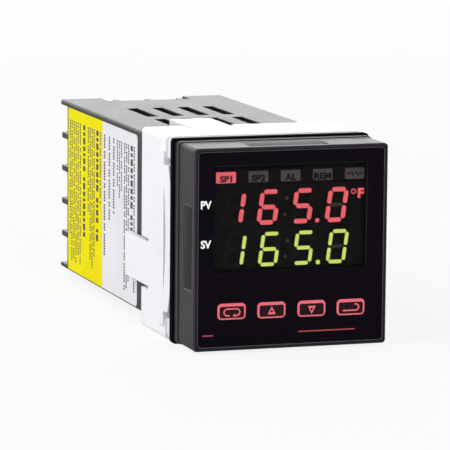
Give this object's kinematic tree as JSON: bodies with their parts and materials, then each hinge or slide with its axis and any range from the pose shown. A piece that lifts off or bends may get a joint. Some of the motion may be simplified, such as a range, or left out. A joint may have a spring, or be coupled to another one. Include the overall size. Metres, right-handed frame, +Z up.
{
  "type": "pid temperature controller",
  "caption": "Square panel temperature controller: two-row digit display and keys behind a film, in a slotted sleeve with rear screw terminals and a ratchet mounting collar",
  "frame": {"origin": "middle of the panel cut-out, in the plane where the gasket meets the panel's face", "axes": "+Y points from the front face into the panel, +Z is up, +X is to the right from the front"},
  "size_m": [0.05, 0.1222, 0.0492],
  "materials": {
    "case_plastic": "fine moulded texture",
    "bezel_plastic": "fine moulded texture",
    "gasket_rubber": "smooth",
    "collar_plastic": "smooth moulded",
    "film": "printed film, satin",
    "smoked_pane": "tinted, clear",
    "display_black": "smooth",
    "key_white": "smooth",
    "switch_black": "smooth",
    "board_green": "solder mask on glass laminate",
    "chip_black": "smooth",
    "crystal_steel": "pressed",
    "core_steel": "stacked sheets",
    "bobbin_plastic": "smooth",
    "winding_tape": "wrapped tape",
    "capacitor_sleeve": "shrunk sleeve",
    "varistor_blue": "dipped",
    "relay_black": "smooth",
    "header_black": "smooth",
    "brass": "pressed",
    "clamp_steel": "plated",
    "screw_steel": "plated",
    "label_yellow": "satin",
    "label_white": "satin"
  },
  "bodies": {
    "case": {"case": "case_plastic", "panel_gasket": "gasket_rubber", "white_label": "label_white", "yellow_label": "label_yellow", "contacts_left": "brass", "contacts_right": "brass", "contacts_middle": "brass", "clamp_plates": "clamp_steel", "terminal_screw_01": "screw_steel", "terminal_screw_02": "screw_steel", "terminal_screw_03": "screw_steel", "terminal_screw_04": "screw_steel", "terminal_screw_05": "screw_steel", "terminal_screw_06": "screw_steel", "terminal_screw_07": "screw_steel", "terminal_screw_08": "screw_steel", "terminal_screw_09": "screw_steel", "terminal_screw_10": "screw_steel", "terminal_screw_11": "screw_steel", "terminal_screw_12": "screw_steel"},
    "collar": {"mounting_collar": "collar_plastic"},
    "key_cycle": {"key_cycle": "key_white", "switch_stem_cycle": "key_white"},
    "key_up": {"key_up": "key_white", "switch_stem_up": "key_white"},
    "key_down": {"key_down": "key_white", "switch_stem_down": "key_white"},
    "key_enter": {"key_enter": "key_white", "switch_stem_enter": "key_white"},
    "chassis": {"bezel": "bezel_plastic", "inner_seal": "gasket_rubber", "front_film": "film", "display_window": "smoked_pane", "display_board": "board_green", "red_digit_module": "display_black", "green_digit_module": "display_black", "indicator_bar": "display_black", "board_screw_1": "screw_steel", "board_screw_2": "screw_steel", "processor_board": "board_green", "power_board": "board_green", "output_board": "board_green", "power_header": "header_black", "processor_header": "header_black", "processor_chip": "chip_black", "memory_chip": "chip_black", "crystal": "crystal_steel", "transformer_core": "core_steel", "transformer_bobbin": "bobbin_plastic", "transformer_windings": "winding_tape", "filter_capacitor": "capacitor_sleeve", "varistor": "varistor_blue", "relay_1": "relay_black", "relay_2": "relay_black", "switch_cycle": "switch_black", "switch_up": "switch_black", "switch_down": "switch_black", "switch_enter": "switch_black"}
  },
  "joints": [
    {"name": "chassis_slide", "type": "slide", "parent": "case", "child": "chassis", "axis": [0, -1, 0], "range_m": [0, 0.11]},
    {"name": "collar_slide", "type": "slide", "parent": "case", "child": "collar", "axis": [0, 1, 0], "range_m": [0, 0.107]},
    {"name": "key_cycle_press", "type": "slide", "parent": "chassis", "child": "key_cycle", "axis": [0, 1, 0], "range_m": [0, 0.0003], "stiffness_N_per_m": 4000},
    {"name": "key_up_press", "type": "slide", "parent": "chassis", "child": "key_up", "axis": [0, 1, 0], "range_m": [0, 0.0003], "stiffness_N_per_m": 4000},
    {"name": "key_down_press", "type": "slide", "parent": "chassis", "child": "key_down", "axis": [0, 1, 0], "range_m": [0, 0.0003], "stiffness_N_per_m": 4000},
    {"name": "key_enter_press", "type": "slide", "parent": "chassis", "child": "key_enter", "axis": [0, 1, 0], "range_m": [0, 0.0003], "stiffness_N_per_m": 4000}
  ]
}
